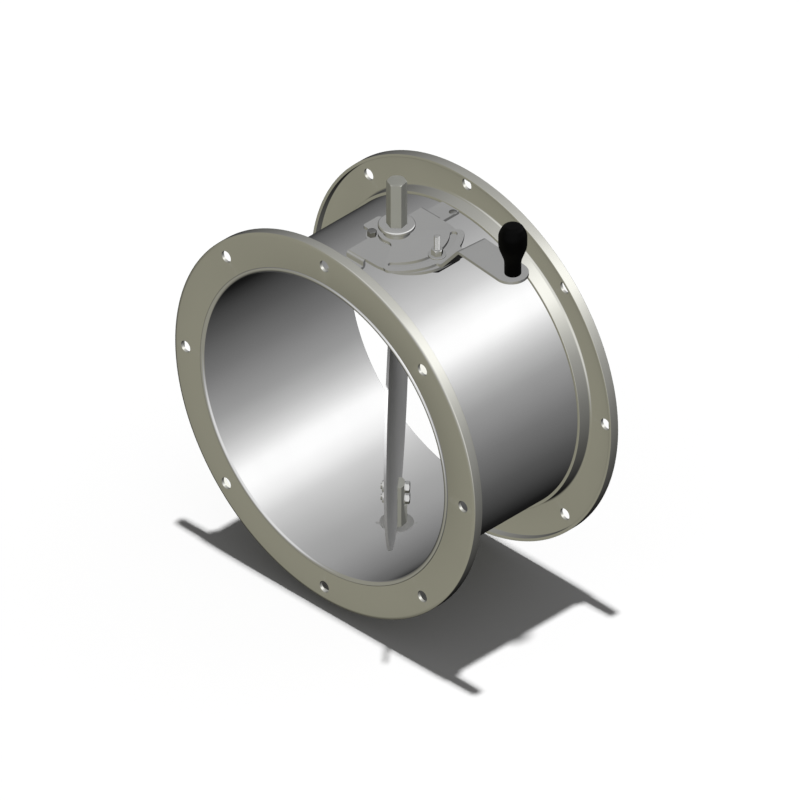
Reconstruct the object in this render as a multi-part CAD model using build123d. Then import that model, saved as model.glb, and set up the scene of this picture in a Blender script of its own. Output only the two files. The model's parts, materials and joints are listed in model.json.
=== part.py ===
from build123d import *
from math import asin, cos, degrees, radians, sin, sqrt
import os

# Round control damper, millimetres.
# Origin: centre of the front flange's bolting face, on the duct's axis.
# +Y runs along the duct from front to rear, +Z up along the blade's shaft, +X to the right.

# Duct tube, its ends rolled out over the flange rings
duct_length = 190.0
bore_radius = 157.5
duct_wall = 2.5
bead_width = 4.5
bead_projection = 1.8
bead_edge_chamfer = 0.6

# Flange rings, pressed from sheet and pushed over the tube's ends
flange_sheet = 3.0
flange_height = 37.0
flange_lip_depth = 10.8
flange_collar_length = 18.0
collar_bend_radius = 2.5
face_edge_radius = 2.5
lip_bend_radius = 0.3
bolt_circle_offset = 22.0
bolt_hole_count = 8
bolt_hole_radius = 6.0

# Blade, and the half-open place in which it is modelled
blade_rim_gap = 3.0
blade_thickness = 2.5
blade_heading = 131.0
blade_notch_depth = 3.5
blade_notch_gap = 1.0
slot_end_gap = 0.5
slot_side_gap = 0.1

# Hexagon bars that carry the blade
bar_across_flats = 17.0
bar_on_blade = 43.5
upper_bar_projection = 62.0
lower_bar_reach = 9.0
bar_chamfer = 1.0
bolt_seat_offset = 7.4
bolt_seat_length = 24.0
first_bolt_setback = 4.6
blade_bolt_spacing = 12.5

# Blade bolts, nuts and washers
blade_bolt_radius = 3.0
blade_bolt_hole_gap = 0.2
blade_bolt_across_flats = 10.0
blade_bolt_head_height = 4.0
blade_nut_height = 5.0
blade_bolt_tail = 1.5
blade_washer_radius = 5.4
blade_washer_thickness = 1.0

# Bushes that turn with the bars
bush_radius = 13.0
bush_running_gap = 0.05
bush_hole_gap = 0.3
bush_lip_radius = 16.0
bush_lip_thickness = 1.2
bush_lip_gap = 1.0
tube_hole_gap = 1.0
hex_fit_gap = 0.05

# Saddle and seal between the tube and the bracket
saddle_stud_reach = 51.5
saddle_back_reach = 13.0
saddle_half_width = 36.0
saddle_eye_radius = 27.5
saddle_cut_length = 29.0
saddle_cut_width = 39.0
saddle_height = 7.0
saddle_corner_radius = 6.0
gasket_thickness = 2.0

# Bracket plate on its two legs: wide and round at the stud, an eye round the shaft, a short tab behind
bracket_sheet = 3.0
bracket_half_width = 47.5
bracket_stud_margin = 12.5
bracket_eye_radius = 28.5
bracket_tab_reach = 34.0
bracket_tab_half_width = 11.0
bracket_corner_radius = 3.0
bracket_leg_middle = -4.5
bracket_leg_half_width = 11.0
bracket_bend_radius = 0.6
bracket_foot_gap = 1.5
rivet_end_margin = 5.0
rivet_side_offset = 3.5

# Blind rivets in the bracket's feet
rivet_radius = 2.0
rivet_head_radius = 4.0
rivet_head_height = 1.4
rivet_bulge_radius = 3.0
rivet_bulge_height = 2.0
rivet_fit_gap = 0.05

# Screws that hold bracket and saddle on the tube
bracket_screw_radius = 2.5
bracket_screw_circle = 23.0
bracket_screw_angles = (135.0, 225.0)
bracket_screw_across_flats = 8.0
bracket_screw_head_height = 5.5
bracket_screw_tip_reach = 4.0
screw_hole_gap = 0.2

# Locking stud, its washer and its nut
guide_radius = 53.0
stud_radius = 3.0
stud_fit_gap = 0.05
stud_head_radius = 6.0
stud_head_height = 3.2
stud_recess_gap = 0.8
stud_projection = 26.0
clamp_washer_radius = 8.5
clamp_washer_thickness = 1.2
clamp_gap = 0.1
nut_across_flats = 10.0
nut_height = 6.0
nut_thread_gap = 0.05

# Lever: a slotted sector, a riser and a raised arm, bent from one sheet
lever_sheet = 3.0
lever_from_blade = 135.7
friction_washer_thickness = 1.0
friction_gap = 0.1
lever_hub_end_radius = 17.5
slot_half_width = 3.5
slot_end_margin = 1.0
sector_rim_margin = 6.5
sector_side_margin = 3.4
sector_corner_radius = 6.0
sector_root_radius = 8.0
arm_root_radius = 2.0
arm_offset = 12.9
arm_width = 33.0
riser_setback = 5.0
riser_run = 24.0
riser_bend_radius = 3.0
arm_flange_gap = 3.0
arm_end_setback = 2.4

# Travel of the lever from the modelled place
travel_to_closed = 49.0
travel_to_open = 41.0

# Hub on the bar
hub_spigot_radius = 12.0
hub_spigot_gap = 0.05
hub_boss_radius = 13.0
hub_boss_height = 6.5
hub_collar_radius = 17.5
hub_collar_height = 3.5
hub_collar_chamfer = 0.8
set_screw_radius = 2.5
set_screw_depth_below_rim = 0.6
set_screw_socket_across_flats = 2.5
set_screw_socket_depth = 2.0
set_screw_turn = 150.0

# Knob and its screw
knob_reach = 151.4
knob_foot_radius = 8.0
knob_neck_height = 15.0
knob_belly_radius = 13.6
knob_belly_height = 30.0
knob_shoulder_height = 44.0
knob_crown_radius = 9.0
knob_height = 53.5
knob_flank_bend = 24.0
knob_shoulder_bend = 12.0
knob_crown_bend = 6.0
knob_screw_radius = 3.0
knob_screw_hole_gap = 0.3
knob_screw_depth = 20.0
knob_screw_tip_gap = 2.0
knob_screw_head_radius = 5.2
knob_screw_head_height = 2.6

# Lower bearing
housing_radius = 22.0
housing_height = 12.0
housing_edge_chamfer = 1.0
cap_thickness = 2.0
cap_chamfer = 0.6
lower_bush_setback = 3.0
ring_thickness = 1.2
ring_radius = 12.0
ring_groove_radius = 8.0
ring_side_gap = 0.1
ring_fit_gap = 0.05
housing_screw_radius = 2.0
housing_screw_circle = 17.6
housing_screw_angles = (45.0, 135.0, 225.0, 315.0)
housing_screw_head_radius = 3.4
housing_screw_head_height = 2.4
housing_screw_tip_reach = 2.9

# Pan heads and their driver recesses, as shares of the head's height where no length is given
pan_head_slope = 0.35
recess_width = 1.2
recess_share_of_head = 0.5

# Worked out from the sizes above
duct_middle = duct_length / 2
tube_radius = bore_radius + duct_wall
flange_radius = tube_radius + flange_height
bolt_circle_radius = tube_radius + bolt_circle_offset
blade_radius = bore_radius - blade_rim_gap
blade_normal = blade_heading - 90.0
lever_heading = blade_heading - lever_from_blade
notch_floor = blade_radius - blade_notch_depth
bar_inner_end = blade_radius - bar_on_blade
blade_bolt_heights = [bar_inner_end + first_bolt_setback + index * blade_bolt_spacing for index in range(2)]
bar_corner_radius = bar_across_flats / sqrt(3)
saddle_top = tube_radius + saddle_height
bracket_top = saddle_top + bracket_sheet
upper_bar_top = bracket_top + upper_bar_projection
lower_bar_end = tube_radius + lower_bar_reach
bush_lip_top = bore_radius - bush_lip_gap
bush_lip_floor = bush_lip_top - bush_lip_thickness
lever_underside = bracket_top + friction_gap + friction_washer_thickness
lever_top = lever_underside + lever_sheet
arm_underside = flange_radius + arm_flange_gap
arm_top = arm_underside + lever_sheet
sector_radius = guide_radius + slot_half_width + sector_rim_margin
riser_start = sector_radius + riser_setback
arm_end_reach = knob_reach - arm_end_setback
hub_boss_top = lever_top + hub_boss_height
clamp_washer_floor = lever_top + clamp_gap
nut_floor = clamp_washer_floor + clamp_washer_thickness + clamp_gap
bracket_stud_reach = guide_radius + bracket_stud_margin
bracket_back = bracket_leg_middle - bracket_leg_half_width
bracket_foot_end = duct_middle - flange_collar_length - bracket_foot_gap
rivet_place = bracket_foot_end - rivet_end_margin
housing_end = tube_radius + housing_height
cap_end = housing_end + cap_thickness
lower_bush_end = lower_bar_end - lower_bush_setback
ring_floor = lower_bush_end + ring_side_gap
REACH = 3 * flange_radius

UPRIGHT = (Align.CENTER, Align.CENTER, Align.MIN)

os.makedirs("parts", exist_ok=True)


def save(shape, node):
    """Write one named piece, moved from the shaft's axis to its place along the duct."""
    export_step(Pos(0, duct_middle, 0) * shape, f"parts/{node}.step")


def as_group(shapes):
    """Separate solids that share one node."""
    return Compound([solid for shape in shapes for solid in shape.solids()])


def upright(radius, low, high):
    """A cylinder on the shaft's axis between two heights."""
    return Pos(0, 0, low) * Cylinder(radius, high - low, align=UPRIGHT)


def along_duct(radius, length=REACH):
    """A cylinder on the duct's axis, centred on its middle."""
    return Rot(90, 0, 0) * Cylinder(radius, length)


def hexagon(across_flats, low, high, turn=0.0):
    """An upright hexagonal prism; one of its corners points along the turn."""
    outline = RegularPolygon(across_flats / 2, 6, major_radius=False, rotation=turn)
    return extrude(Pos(0, 0, low) * outline, high - low)


def on_circle(shape, distance, angles):
    """Copies of a shape at one distance from the shaft's axis."""
    return [Rot(0, 0, angle) * Pos(distance, 0, 0) * shape for angle in angles]


def at_feet(shape):
    """Copies of a shape at the rivet in each foot of the bracket."""
    return [Pos(rivet_side_offset, side * rivet_place, 0) * shape for side in (1, -1)]


def cut_all(shape, tools):
    for tool in tools:
        shape -= tool
    return shape


def below(shape):
    """The same piece under the duct."""
    return Rot(180, 0, 0) * shape


def corner(profile, x, y):
    """The vertex of a flat outline nearest to a point."""
    return profile.vertices().sort_by_distance(Vector(x, y, 0))[0]


def hexagon_head(across_flats, height, base):
    """A hexagon head or nut whose top corners are turned away."""
    top = base + height
    turned = upright(across_flats / sqrt(3), base, top)
    rim = turned.edges().filter_by(GeomType.CIRCLE).sort_by(Axis.Z)[-1]
    turned = chamfer(rim, height * 0.13, across_flats / sqrt(3) - across_flats / 2)
    return hexagon(across_flats, base, top) & turned


def pan_head(radius, height, base):
    """A pan head with a cross recess."""
    head = upright(radius, base, base + height)
    head = chamfer(head.edges().filter_by(GeomType.CIRCLE).sort_by(Axis.Z)[-1], height * pan_head_slope)
    depth = height * recess_share_of_head
    bar = Pos(0, 0, base + height - depth) * Box(radius, recess_width, height, align=UPRIGHT)
    return head - bar - Rot(0, 0, 90) * bar


# Duct tube
def make_duct_shell():
    """The tube with both ends rolled out over the rings, bored for the bars and their fixings."""
    rim = bore_radius + bead_width
    front, rear = -bead_projection, duct_length + bead_projection
    section = Polygon(
        (bore_radius, front), (rim, front), (rim, 0), (tube_radius, 0), (tube_radius, duct_length),
        (rim, duct_length), (rim, rear), (bore_radius, rear), align=None)
    for x, y in ((bore_radius, front), (rim, front), (rim, rear), (bore_radius, rear)):
        section = chamfer(corner(section, x, y), bead_edge_chamfer)
    tube = Pos(0, -duct_middle, 0) * revolve(section, axis=Axis.Y)
    tube -= upright(bush_radius + tube_hole_gap, -REACH, REACH)
    bracket_hole = upright(bracket_screw_radius, 0, REACH)
    tube = cut_all(tube, on_circle(bracket_hole, bracket_screw_circle, bracket_screw_angles))
    housing_hole = below(upright(housing_screw_radius, 0, REACH))
    tube = cut_all(tube, on_circle(housing_hole, housing_screw_circle, housing_screw_angles))
    rivet_hole = upright(rivet_radius + rivet_fit_gap, 0, REACH)
    return cut_all(tube, at_feet(rivet_hole))


# Flange rings
def make_front_flange():
    """Collar on the tube, bolting face, and a rim lip turned back over the duct."""
    inner, outer, sheet = tube_radius, flange_radius, flange_sheet
    section = Polygon(
        (inner, flange_collar_length), (inner, 0), (outer, 0), (outer, flange_lip_depth),
        (outer - sheet, flange_lip_depth), (outer - sheet, sheet), (inner + sheet, sheet),
        (inner + sheet, flange_collar_length), align=None)
    section = fillet(corner(section, inner, 0), face_edge_radius)
    section = fillet(corner(section, outer, 0), lip_bend_radius + sheet)
    section = fillet(corner(section, inner + sheet, sheet), collar_bend_radius)
    ring = revolve(section, axis=Axis.Y)
    hole = Rot(90, 0, 0) * Cylinder(bolt_hole_radius, 3 * flange_sheet)
    step = 360.0 / bolt_hole_count
    ring = cut_all(ring, [Rot(0, index * step, 0) * Pos(0, 0, bolt_circle_radius) * hole
                          for index in range(bolt_hole_count)])
    return Pos(0, -duct_middle, 0) * ring


# Saddle and seal under the bracket
def saddle_block(low_radius, top):
    """The saddle's outline as a block whose underside follows a cylinder on the duct's axis."""
    front, back = -saddle_half_width, saddle_half_width
    pad = Polygon(
        (-saddle_back_reach, front), (saddle_stud_reach - saddle_cut_length, front),
        (saddle_stud_reach, front + saddle_cut_width), (saddle_stud_reach, back),
        (-saddle_back_reach, back), align=None)
    outline = fillet(pad.vertices(), saddle_corner_radius) + Circle(saddle_eye_radius)
    return extrude(outline, top) - along_duct(low_radius)


def make_saddle():
    saddle = saddle_block(tube_radius + gasket_thickness, saddle_top)
    saddle -= upright(bush_radius + bush_running_gap, 0, REACH)
    hole = upright(bracket_screw_radius, 0, REACH)
    saddle = cut_all(saddle, on_circle(hole, bracket_screw_circle, bracket_screw_angles))
    recess_floor = saddle_top - stud_head_height - stud_recess_gap
    recess = upright(stud_head_radius + stud_recess_gap, recess_floor, REACH)
    return saddle - Pos(guide_radius, 0, 0) * recess


def make_saddle_gasket():
    gasket = saddle_block(tube_radius, saddle_top) & along_duct(tube_radius + gasket_thickness)
    gasket -= upright(bush_radius + tube_hole_gap, 0, REACH)
    hole = upright(bracket_screw_radius + screw_hole_gap, 0, REACH)
    return cut_all(gasket, on_circle(hole, bracket_screw_circle, bracket_screw_angles))


# Bracket
def make_bracket_leg():
    """One leg: over the plate's edge, down, and out along the duct's crown."""
    middle = bracket_sheet / 2
    crown = tube_radius + middle
    plate_level = bracket_top - middle
    wall = bracket_half_width + middle
    path = FilletPolyline(
        (bracket_half_width - 2 * bracket_sheet, plate_level), (wall, plate_level), (wall, crown),
        (bracket_foot_end, crown), radius=bracket_bend_radius + middle)
    side = Plane.YZ * trace(path, bracket_sheet)
    leg = extrude(side, bracket_leg_half_width, both=True)
    sole = Pos(0, wall + middle, 0) * Box(
        2 * bracket_leg_half_width, bracket_foot_end - wall - middle, tube_radius + middle,
        align=(Align.CENTER, Align.MIN, Align.MIN))
    return Pos(bracket_leg_middle, 0, 0) * (leg + sole) - along_duct(tube_radius)


def bracket_outline():
    """The plate from above."""
    round_end = bracket_stud_reach - bracket_half_width
    length = bracket_stud_reach - bracket_back
    band = Pos(bracket_back + length / 2, 0) * Rectangle(length, 2 * bracket_half_width)
    square = Pos(bracket_back, 0) * Rectangle(2 * (round_end - bracket_back), 2 * bracket_half_width)
    outline = (Pos(round_end, 0) * Circle(bracket_half_width) + square) & band
    outline += Circle(bracket_eye_radius)
    tab = Pos(-bracket_tab_reach / 2, 0) * Rectangle(bracket_tab_reach, 2 * bracket_tab_half_width)
    outline += tab
    eye_at_band = sqrt(bracket_eye_radius ** 2 - bracket_back ** 2)
    eye_at_tab = sqrt(bracket_eye_radius ** 2 - bracket_tab_half_width ** 2)
    for side in (1, -1):
        for x, y in ((bracket_back, eye_at_band), (-eye_at_tab, bracket_tab_half_width),
                     (-bracket_tab_reach, bracket_tab_half_width)):
            outline = fillet(corner(outline, x, side * y), bracket_corner_radius)
    return outline


def make_bracket():
    bracket = extrude(Pos(0, 0, saddle_top) * bracket_outline(), bracket_sheet)
    leg = make_bracket_leg()
    bracket += leg
    bracket += mirror(leg, about=Plane.XZ)
    bracket -= upright(bush_radius + bush_hole_gap, 0, REACH)
    screw_hole = upright(bracket_screw_radius + screw_hole_gap, 0, REACH)
    bracket = cut_all(bracket, on_circle(screw_hole, bracket_screw_circle, bracket_screw_angles))
    bracket -= Pos(guide_radius, 0, 0) * upright(stud_radius + stud_fit_gap, 0, REACH)
    rivet_hole = upright(rivet_radius + rivet_fit_gap, 0, REACH)
    return cut_all(bracket, at_feet(rivet_hole))


def make_rivet():
    """A blind rivet: flat dome outside, set bulge inside, hollow where the pin broke off."""
    seat = tube_radius + bracket_sheet
    dome = upright(rivet_head_radius, seat, seat + rivet_head_height)
    dome = chamfer(dome.edges().filter_by(GeomType.CIRCLE).sort_by(Axis.Z)[-1], rivet_head_height / 2)
    bulge_top = sqrt(bore_radius ** 2 - (rivet_side_offset + rivet_bulge_radius) ** 2) - rivet_fit_gap
    bulge = upright(rivet_bulge_radius, bulge_top - rivet_bulge_height, bulge_top)
    rivet = dome + bulge + upright(rivet_radius, bulge_top - rivet_bulge_height, seat)
    return rivet - upright(rivet_radius / 2, seat, REACH)


def make_bracket_screw():
    head = hexagon_head(bracket_screw_across_flats, bracket_screw_head_height, bracket_top)
    tip = tube_radius - bracket_screw_tip_reach
    return head + upright(bracket_screw_radius, tip, bracket_top)


# Stud, washer and nut
def at_stud(shape):
    return Pos(guide_radius, 0, 0) * shape


def make_stud():
    """A press-in stud with its flat head under the plate."""
    stud = upright(stud_radius, saddle_top, bracket_top + stud_projection)
    stud = chamfer(stud.edges().filter_by(GeomType.CIRCLE).sort_by(Axis.Z)[-1], stud_radius * 0.2)
    return at_stud(stud + upright(stud_head_radius, saddle_top - stud_head_height, saddle_top))


def make_clamp_washer():
    top = clamp_washer_floor + clamp_washer_thickness
    ring = upright(clamp_washer_radius, clamp_washer_floor, top)
    return at_stud(ring - upright(stud_radius + screw_hole_gap, 0, REACH))


def make_lock_nut():
    nut = hexagon_head(nut_across_flats, nut_height, nut_floor)
    return at_stud(nut - upright(stud_radius + nut_thread_gap, 0, REACH))


# Blade and bars
def square_to_blade(shape):
    """Turn a piece made along +X so that it points square to the blade."""
    return Rot(0, 0, blade_normal) * shape


def make_blade():
    plate = Rot(0, 90, 0) * Cylinder(blade_radius, blade_thickness)
    notch = Box(REACH, 2 * (bar_corner_radius + blade_notch_gap), REACH, align=UPRIGHT)
    bolt_hole = Rot(0, 90, 0) * Cylinder(blade_bolt_radius + blade_bolt_hole_gap, REACH)
    for turn in (0, 180):
        plate -= Rot(turn, 0, 0) * Pos(0, 0, notch_floor) * notch
        plate = cut_all(plate, [Rot(turn, 0, 0) * Pos(0, 0, height) * bolt_hole
                                for height in blade_bolt_heights])
    return square_to_blade(plate)


def make_bar(outer_end):
    """A hexagon bar, slotted over the blade and milled flat under its bolts."""
    bar = hexagon(bar_across_flats, bar_inner_end, outer_end)
    turned = upright(bar_corner_radius, bar_inner_end, outer_end)
    bar &= chamfer(turned.edges().filter_by(GeomType.CIRCLE).sort_by(Axis.Z)[-1], bar_chamfer)
    slot_height = notch_floor + slot_end_gap - bar_inner_end
    slot = Box(blade_thickness + 2 * slot_side_gap, REACH, slot_height, align=UPRIGHT)
    bar -= Pos(0, 0, bar_inner_end) * slot
    seat = Box(REACH, REACH, bolt_seat_length, align=(Align.MIN, Align.CENTER, Align.MIN))
    for turn in (0, 180):
        bar -= Rot(0, 0, turn) * Pos(bolt_seat_offset, 0, bar_inner_end) * seat
    bolt_hole = Rot(0, 90, 0) * Cylinder(blade_bolt_radius + blade_bolt_hole_gap, REACH)
    return cut_all(bar, [Pos(0, 0, height) * bolt_hole for height in blade_bolt_heights])


def make_upper_shaft():
    return square_to_blade(make_bar(upper_bar_top))


def make_lower_shaft():
    """The lower stub, grooved for its retaining ring."""
    bar = make_bar(lower_bar_end)
    top = ring_floor + ring_thickness + ring_side_gap
    groove = upright(2 * bar_corner_radius, ring_floor - ring_side_gap, top)
    groove -= upright(ring_groove_radius, 0, REACH)
    return square_to_blade(Rot(180, 0, 0) * (bar - groove))


def at_blade_bolts(piece):
    """A piece made square to the blade, repeated at every bolt."""
    heights = [side * height for side in (1, -1) for height in blade_bolt_heights]
    return as_group([square_to_blade(Pos(0, 0, height) * piece) for height in heights])


def make_blade_bolt():
    seat = bolt_seat_offset + blade_washer_thickness
    end = seat + blade_nut_height + blade_bolt_tail
    bolt = hexagon_head(blade_bolt_across_flats, blade_bolt_head_height, seat)
    return Rot(0, 90, 0) * (bolt + upright(blade_bolt_radius, -end, seat))


def make_blade_washer(turn):
    top = bolt_seat_offset + blade_washer_thickness
    washer = upright(blade_washer_radius, bolt_seat_offset, top)
    washer -= upright(blade_bolt_radius + blade_bolt_hole_gap, 0, REACH)
    return Rot(0, turn, 0) * washer


def make_blade_nut():
    nut = hexagon_head(blade_bolt_across_flats, blade_nut_height, bolt_seat_offset + blade_washer_thickness)
    return Rot(0, -90, 0) * (nut - upright(blade_bolt_radius, 0, REACH))


# Bushes
def make_bush(outer_end):
    """A lipped bush with a hexagon bore; its lip lies just inside the duct."""
    bush = upright(bush_radius, bush_lip_floor, outer_end)
    bush += upright(bush_lip_radius, bush_lip_floor, bush_lip_top)
    return square_to_blade(bush - hexagon(bar_across_flats + 2 * hex_fit_gap, 0, REACH))


# Lever
def from_lever(shape):
    """Turn a piece made along +X to the lever's direction."""
    return Rot(0, 0, lever_heading) * shape


def arc_slot():
    """The curved slot that lets the stud pass over the whole travel."""
    rest = -lever_heading
    first = rest - travel_to_closed - slot_end_margin
    sweep = travel_to_closed + travel_to_open + 2 * slot_end_margin
    band = trace(CenterArc((0, 0), guide_radius, first, sweep), 2 * slot_half_width)
    for angle in (radians(first), radians(first + sweep)):
        band += Pos(guide_radius * cos(angle), guide_radius * sin(angle)) * Circle(slot_half_width)
    return band


def sector_outline(arm_start):
    """The flat part: a rounded sector, the hub's end and the root of the arm."""
    spread = degrees(asin(slot_half_width / guide_radius)) + sector_side_margin
    first = -lever_heading - travel_to_closed - slot_end_margin - spread
    sweep = travel_to_closed + travel_to_open + 2 * (slot_end_margin + spread)
    rim = CenterArc((0, 0), sector_radius, first, sweep)
    sector = make_face([rim, Line(rim @ 1, (0, 0)), Line((0, 0), rim @ 0)])
    for end in (rim @ 0, rim @ 1):
        sector = fillet(corner(sector, end.X, end.Y), sector_corner_radius)
    outline = sector + Circle(lever_hub_end_radius)
    for angle in (radians(first), radians(first + sweep)):
        at = (lever_hub_end_radius * cos(angle), lever_hub_end_radius * sin(angle))
        outline = fillet(corner(outline, *at), sector_root_radius)
    low, high = arm_offset - arm_width / 2, arm_offset + arm_width / 2
    root = Polygon((guide_radius - 2 * slot_half_width, low), (arm_start, low), (arm_start, high),
                   (guide_radius - 2 * slot_half_width, high), align=None)
    outline += root
    for edge in (low, high):
        meet = sqrt(sector_radius ** 2 - edge ** 2)
        outline = fillet(corner(outline, meet, edge), arm_root_radius)
    return outline


def make_lever_plate():
    middle = lever_sheet / 2
    path = FilletPolyline(
        (guide_radius, lever_underside + middle), (riser_start, lever_underside + middle),
        (riser_start + riser_run, arm_underside + middle),
        (arm_end_reach + arm_width, arm_underside + middle), radius=riser_bend_radius + middle)
    side = Plane.XZ * trace(path, lever_sheet)
    strip = Pos(0, arm_offset, 0) * extrude(side, arm_width / 2, both=True)
    far = Pos(arm_end_reach, arm_offset) * Circle(arm_width / 2)
    near = Pos(arm_end_reach / 2, arm_offset) * Rectangle(arm_end_reach, arm_width)
    strip &= extrude(near + far, REACH)
    plate = extrude(Pos(0, 0, lever_underside) * sector_outline(riser_start - middle), lever_sheet)
    plate += strip
    plate -= extrude(arc_slot(), REACH)
    plate -= upright(hub_spigot_radius + hub_spigot_gap, 0, REACH)
    plate -= Pos(knob_reach, arm_offset, 0) * upright(knob_screw_radius + knob_screw_hole_gap, 0, REACH)
    return from_lever(plate)


def make_friction_washer():
    washer = upright(lever_hub_end_radius, bracket_top + friction_gap, lever_underside)
    return washer - upright(bush_radius + bush_hole_gap, 0, REACH)


# Hub
def hex_bored(shape):
    """Bore a piece made square to the blade so that it fits the bar."""
    return square_to_blade(shape - hexagon(bar_across_flats + 2 * hex_fit_gap, 0, REACH))


def set_screw_axis(shape):
    """Lay an upright piece along the radial direction of the set screw."""
    height = (lever_top + hub_boss_top) / 2
    return Rot(0, 0, set_screw_turn) * Pos(0, 0, height) * Rot(0, 90, 0) * shape


def make_hub():
    hub = upright(hub_spigot_radius, lever_underside, lever_top)
    hub += upright(hub_boss_radius, lever_top, hub_boss_top)
    return hex_bored(hub - set_screw_axis(upright(set_screw_radius, 0, REACH)))


def make_set_screw():
    """A headless screw that bears on one flat of the bar."""
    outer = hub_boss_radius - set_screw_depth_below_rim
    screw = upright(set_screw_radius, bar_across_flats / 2, outer)
    screw -= hexagon(set_screw_socket_across_flats, outer - set_screw_socket_depth, REACH)
    return square_to_blade(set_screw_axis(screw))


def make_hub_collar():
    collar = upright(hub_collar_radius, hub_boss_top, hub_boss_top + hub_collar_height)
    rim = collar.edges().filter_by(GeomType.CIRCLE).sort_by(Axis.Z)[-1]
    return hex_bored(chamfer(rim, hub_collar_chamfer))


# Knob
def at_knob(shape):
    return from_lever(Pos(knob_reach, arm_offset, 0) * shape)


def make_knob():
    """A plain grip: slim neck, full belly and a domed crown, all rounded into one another."""
    section = Polygon(
        (0, 0), (knob_foot_radius, 0), (knob_foot_radius, knob_neck_height),
        (knob_belly_radius, knob_belly_height), (knob_belly_radius, knob_shoulder_height),
        (knob_crown_radius, knob_height), (0, knob_height), align=None)
    for x, y, bend in ((knob_foot_radius, knob_neck_height, knob_flank_bend),
                       (knob_belly_radius, knob_belly_height, knob_flank_bend),
                       (knob_belly_radius, knob_shoulder_height, knob_shoulder_bend),
                       (knob_crown_radius, knob_height, knob_crown_bend)):
        section = fillet(corner(section, x, y), bend)
    grip = Pos(0, 0, arm_top) * revolve(Plane.XZ * section, axis=Axis.Z)
    return at_knob(grip - upright(knob_screw_radius, 0, arm_top + knob_screw_depth))


def make_knob_screw():
    shank = upright(knob_screw_radius, arm_underside, arm_top + knob_screw_depth - knob_screw_tip_gap)
    head = Rot(180, 0, 0) * pan_head(knob_screw_head_radius, knob_screw_head_height, -arm_underside)
    return at_knob(shank + head)


# Lower bearing, made upright and turned under the duct
def make_housing():
    body = upright(housing_radius, 0, housing_end)
    body = chamfer(body.edges().filter_by(GeomType.CIRCLE).sort_by(Axis.Z)[-1], housing_edge_chamfer)
    body -= along_duct(tube_radius + gasket_thickness)
    body -= upright(bush_radius + bush_running_gap, 0, REACH)
    hole = upright(housing_screw_radius + screw_hole_gap, 0, REACH)
    return cut_all(body, on_circle(hole, housing_screw_circle, housing_screw_angles))


def make_housing_gasket():
    ring = upright(housing_radius, 0, saddle_top) & along_duct(tube_radius + gasket_thickness)
    ring -= along_duct(tube_radius)
    ring -= upright(bush_radius + tube_hole_gap, 0, REACH)
    hole = upright(housing_screw_radius + screw_hole_gap, 0, REACH)
    return cut_all(ring, on_circle(hole, housing_screw_circle, housing_screw_angles))


def make_end_cap():
    cap = upright(housing_radius, housing_end, cap_end)
    cap = chamfer(cap.edges().filter_by(GeomType.CIRCLE).sort_by(Axis.Z)[-1], cap_chamfer)
    hole = upright(housing_screw_radius + screw_hole_gap, 0, REACH)
    return cut_all(cap, on_circle(hole, housing_screw_circle, housing_screw_angles))


def make_housing_screw():
    head = pan_head(housing_screw_head_radius, housing_screw_head_height, cap_end)
    return head + upright(housing_screw_radius, tube_radius - housing_screw_tip_reach, cap_end)


def make_retaining_ring():
    ring = upright(ring_radius, ring_floor, ring_floor + ring_thickness)
    return ring - upright(ring_groove_radius + ring_fit_gap, 0, REACH)


# Assembly
front_ring = make_front_flange()
save(make_duct_shell(), "duct_shell")
save(front_ring, "front_flange")
save(Rot(0, 0, 180) * front_ring, "rear_flange")
save(make_saddle_gasket(), "saddle_gasket")
save(make_saddle(), "bearing_saddle")
save(make_bracket(), "quadrant_bracket")
save(as_group(at_feet(make_rivet())), "bracket_rivets")
save(as_group(on_circle(make_bracket_screw(), bracket_screw_circle, bracket_screw_angles)), "bracket_screws")
save(make_stud(), "locking_stud")
save(make_clamp_washer(), "clamp_washer")
save(below(make_housing_gasket()), "lower_housing_gasket")
save(below(make_housing()), "lower_bearing_housing")
save(below(make_end_cap()), "lower_end_cap")
save(below(as_group(on_circle(make_housing_screw(), housing_screw_circle, housing_screw_angles))),
     "lower_housing_screws")

save(make_blade(), "blade_disc")
save(make_upper_shaft(), "upper_shaft")
save(make_lower_shaft(), "lower_shaft")
save(at_blade_bolts(make_blade_bolt()), "blade_bolts")
save(as_group([at_blade_bolts(make_blade_washer(turn)) for turn in (90, -90)]), "blade_washers")
save(at_blade_bolts(make_blade_nut()), "blade_nuts")
save(make_bush(lever_underside), "upper_bush")
save(below(Rot(0, 0, -2 * blade_normal) * make_bush(lower_bush_end)), "lower_bush")
save(below(make_retaining_ring()), "lower_retaining_ring")
save(make_friction_washer(), "friction_washer")
save(make_lever_plate(), "lever_plate")
save(make_hub(), "lever_hub")
save(make_set_screw(), "hub_set_screw")
save(make_hub_collar(), "hub_collar")
save(make_knob(), "knob")
save(make_knob_screw(), "knob_screw")

save(make_lock_nut(), "lock_nut")
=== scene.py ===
import json
from math import cos, pi, radians, sin, sqrt, tan, tau

import bmesh
import bpy
from mathutils import Matrix, Vector

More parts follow.
